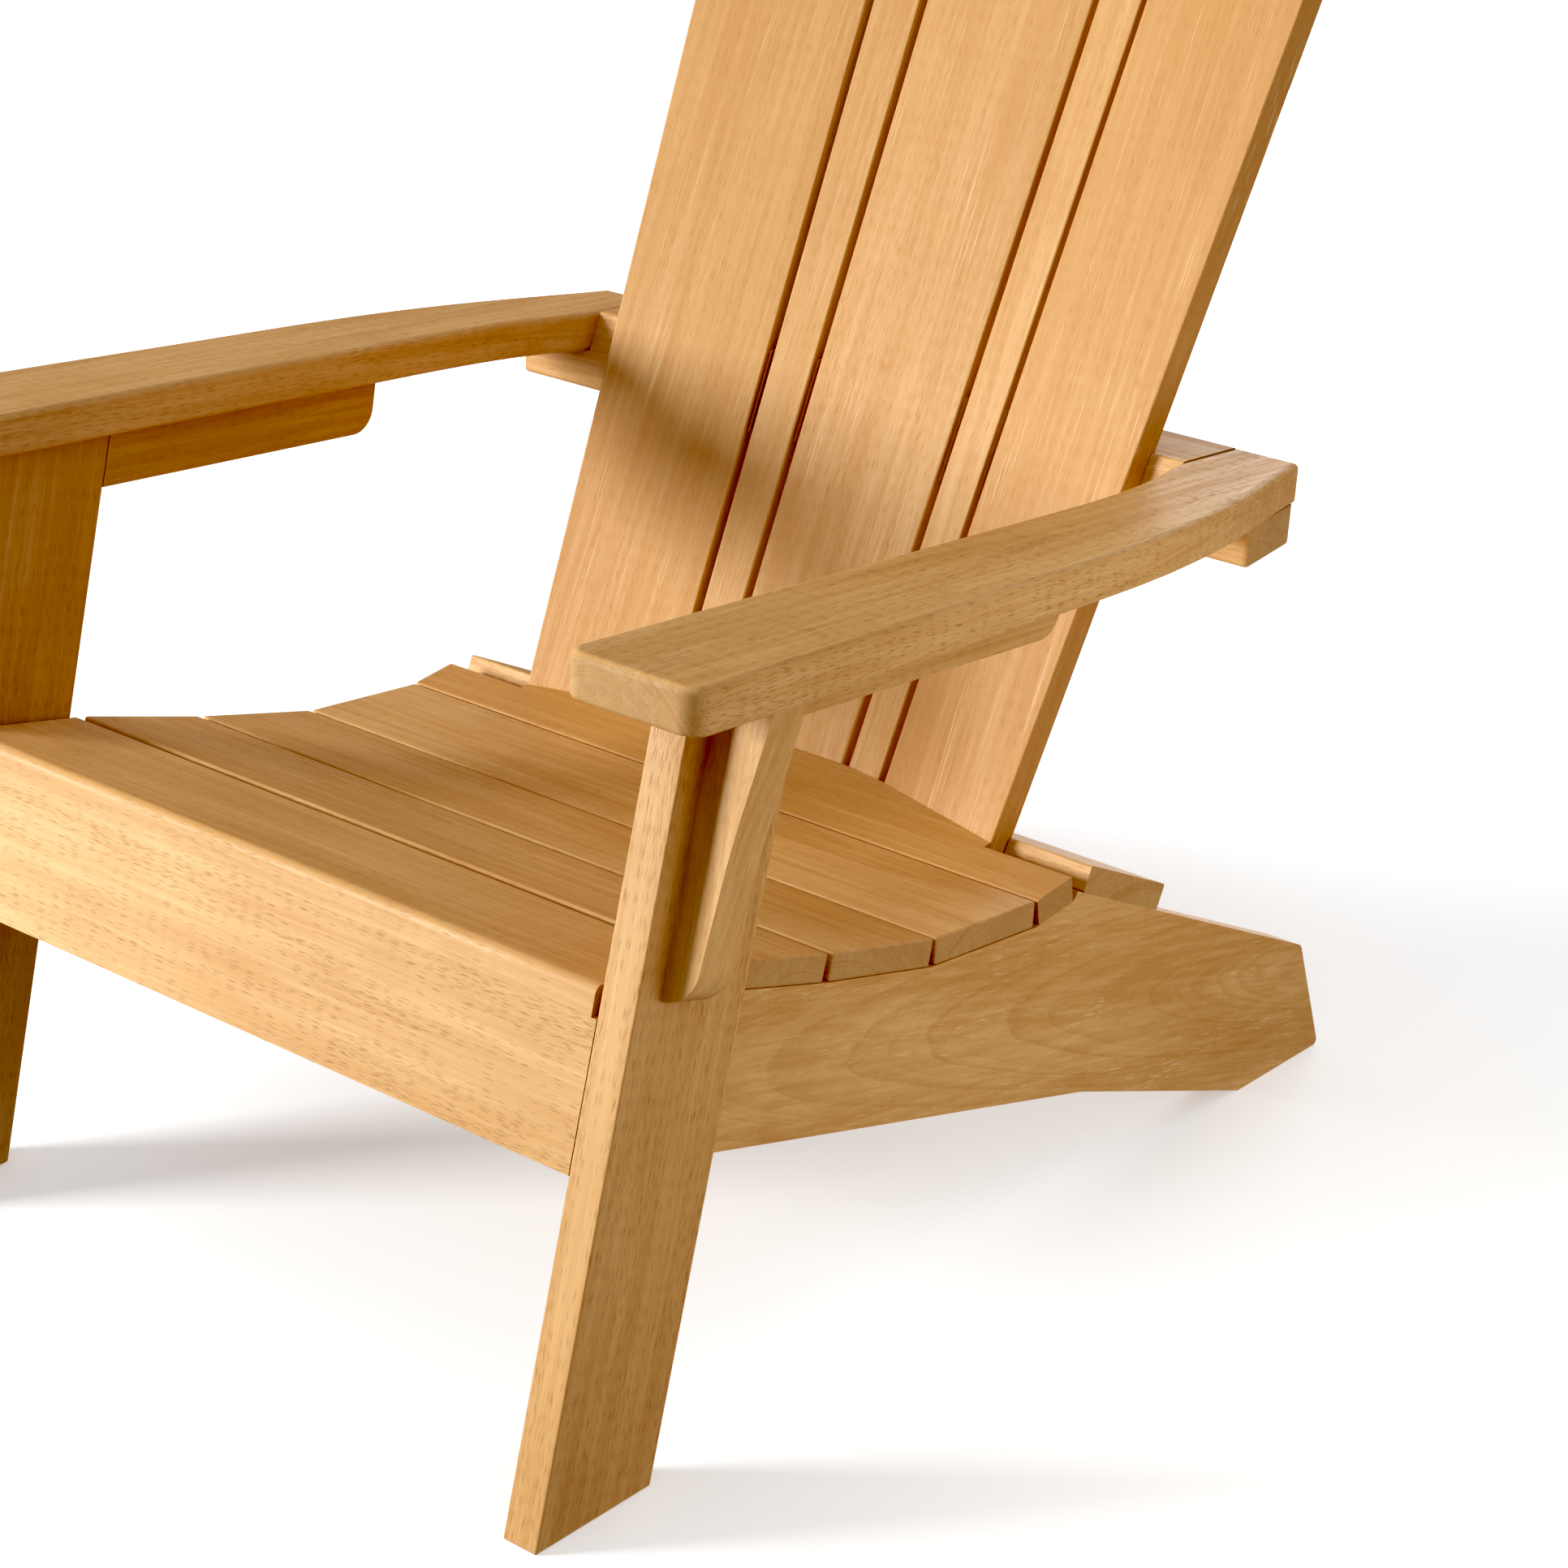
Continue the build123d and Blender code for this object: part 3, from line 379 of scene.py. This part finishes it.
def finish_hardware():
    steel = metal("satin_steel", colour(0.62, 0.62, 0.61), 0.32)
    brass = metal("plain_brass", colour(0.80, 0.58, 0.26), 0.35)
    spacer = nylon("black_nylon")
    centre = (cad_low + cad_high) / 2
    dowel = wood("dowel_wood", centre, 40.0, upward, across, (0.0, 0.02), 0.5, 0.0, 0.5, 0.3, 0.2)
    for name in nodes:
        if name in BOARDS:
            continue
        if "dowel" in name:
            paint(name, dowel)
        elif name == "leg_inserts":
            paint(name, brass)
        elif name == "leg_spacers":
            paint(name, spacer)
        else:
            paint(name, steel)


# ---- studio ----
def make_floor():
    """A pale floor that glows a little, so that it stays near white round soft shadows."""
    mesh = bpy.data.meshes.new("floor")
    corners = [(x * FLOOR_SIZE, y * FLOOR_SIZE, 0) for x, y in ((-1, -1), (1, -1), (1, 1), (-1, 1))]
    mesh.from_pydata(corners, [], [(0, 1, 2, 3)])
    floor = bpy.data.objects.new("floor", mesh)
    bpy.context.scene.collection.objects.link(floor)
    material, tree, shader = new_material("pale_floor")
    shader.inputs["Base Color"].default_value = FLOOR_COLOUR
    shader.inputs["Roughness"].default_value = 0.9
    shader.inputs["Specular IOR Level"].default_value = 0.0
    shader.inputs["Emission Color"].default_value = colour(1, 1, 1)
    place = add_node(tree, "ShaderNodeTexCoord").outputs["Object"]
    reach = vector_calc(tree, "LENGTH", place, NOWHERE, "Value")
    tree.links.new(remap(tree, reach, 0.8, 2.2, *FLOOR_GLOW), shader.inputs["Emission Strength"])
    mesh.materials.append(material)
    floor.visible_diffuse = False
    floor.visible_glossy = False


def area_light(name, towards, place, size, power, tint):
    """A soft square light that looks at a point."""
    data = bpy.data.lights.new(name, "AREA")
    data.shape = "SQUARE"
    data.size = size
    data.energy = power
    data.color = tint
    light = bpy.data.objects.new(name, data)
    light.location = place
    light.rotation_euler = (towards - place).to_track_quat("-Z", "Y").to_euler()
    light.visible_camera = False
    bpy.context.scene.collection.objects.link(light)


def around(target, azimuth, elevation, distance):
    """A point seen from the target at an azimuth from the front (-Y), towards +X, and an elevation."""
    turn, rise = math.radians(azimuth), math.radians(elevation)
    flat = math.cos(rise)
    return target + Vector((math.sin(turn) * flat, -math.cos(turn) * flat, math.sin(rise))) * distance


def make_world():
    """Bright above, dim at the horizon, the floor's bounce from below, and a white backdrop."""
    world = bpy.data.worlds.new("studio")
    world.use_nodes = True
    tree = world.node_tree
    up = add_node(tree, "ShaderNodeSeparateXYZ")
    tree.links.new(add_node(tree, "ShaderNodeTexCoord").outputs["Generated"], up.inputs[0])
    above = remap(tree, up.outputs["Z"], 0.0, 0.8, SKY_LOW, SKY_HIGH)
    below = remap(tree, up.outputs["Z"], -0.3, 0.0, FLOOR_BOUNCE, 0.0)
    seen = add_node(tree, "ShaderNodeLightPath").outputs["Is Camera Ray"]
    backdrop = calc(tree, "MULTIPLY", seen, BACKDROP)
    glow = calc(tree, "MAXIMUM", calc(tree, "ADD", above, below), backdrop)
    tree.links.new(glow, tree.nodes["Background"].inputs["Strength"])
    tree.nodes["Background"].inputs["Color"].default_value = SKY_TINT
    bpy.context.scene.world = world


def light_studio():
    """A low key from the sitter's right, a fill close to the left side, and a light from behind."""
    area_light("key", MIDDLE, around(MIDDLE, *KEY_PLACE), KEY_SIZE, KEY_POWER, KEY_TINT)
    area_light("fill", FILL_TARGET, FILL_PLACE, FILL_SIZE, FILL_POWER, FILL_TINT)
    area_light("rear", MIDDLE, REAR_PLACE, REAR_SIZE, REAR_POWER, REAR_TINT)


def make_camera():
    data = bpy.data.cameras.new("camera")
    data.sensor_width = 36.0
    data.lens = 85.89
    data.shift_x = 0.0158
    data.shift_y = 0.1946
    data.clip_end = 200.0
    camera = bpy.data.objects.new("camera", data)
    camera.location = (1.6372, -1.7577, 1.2791)
    camera.rotation_euler = (math.radians(62.245), 0.0, math.radians(41.414))
    bpy.context.scene.collection.objects.link(camera)
    bpy.context.scene.camera = camera


def set_look():
    look = bpy.context.scene.view_settings
    look.view_transform = "Standard"
    look.use_curve_mapping = True
    look.curve_mapping.black_level = BLACK
    look.curve_mapping.update()


finish_boards()
finish_hardware()
make_floor()
make_world()
light_studio()
make_camera()
set_look()
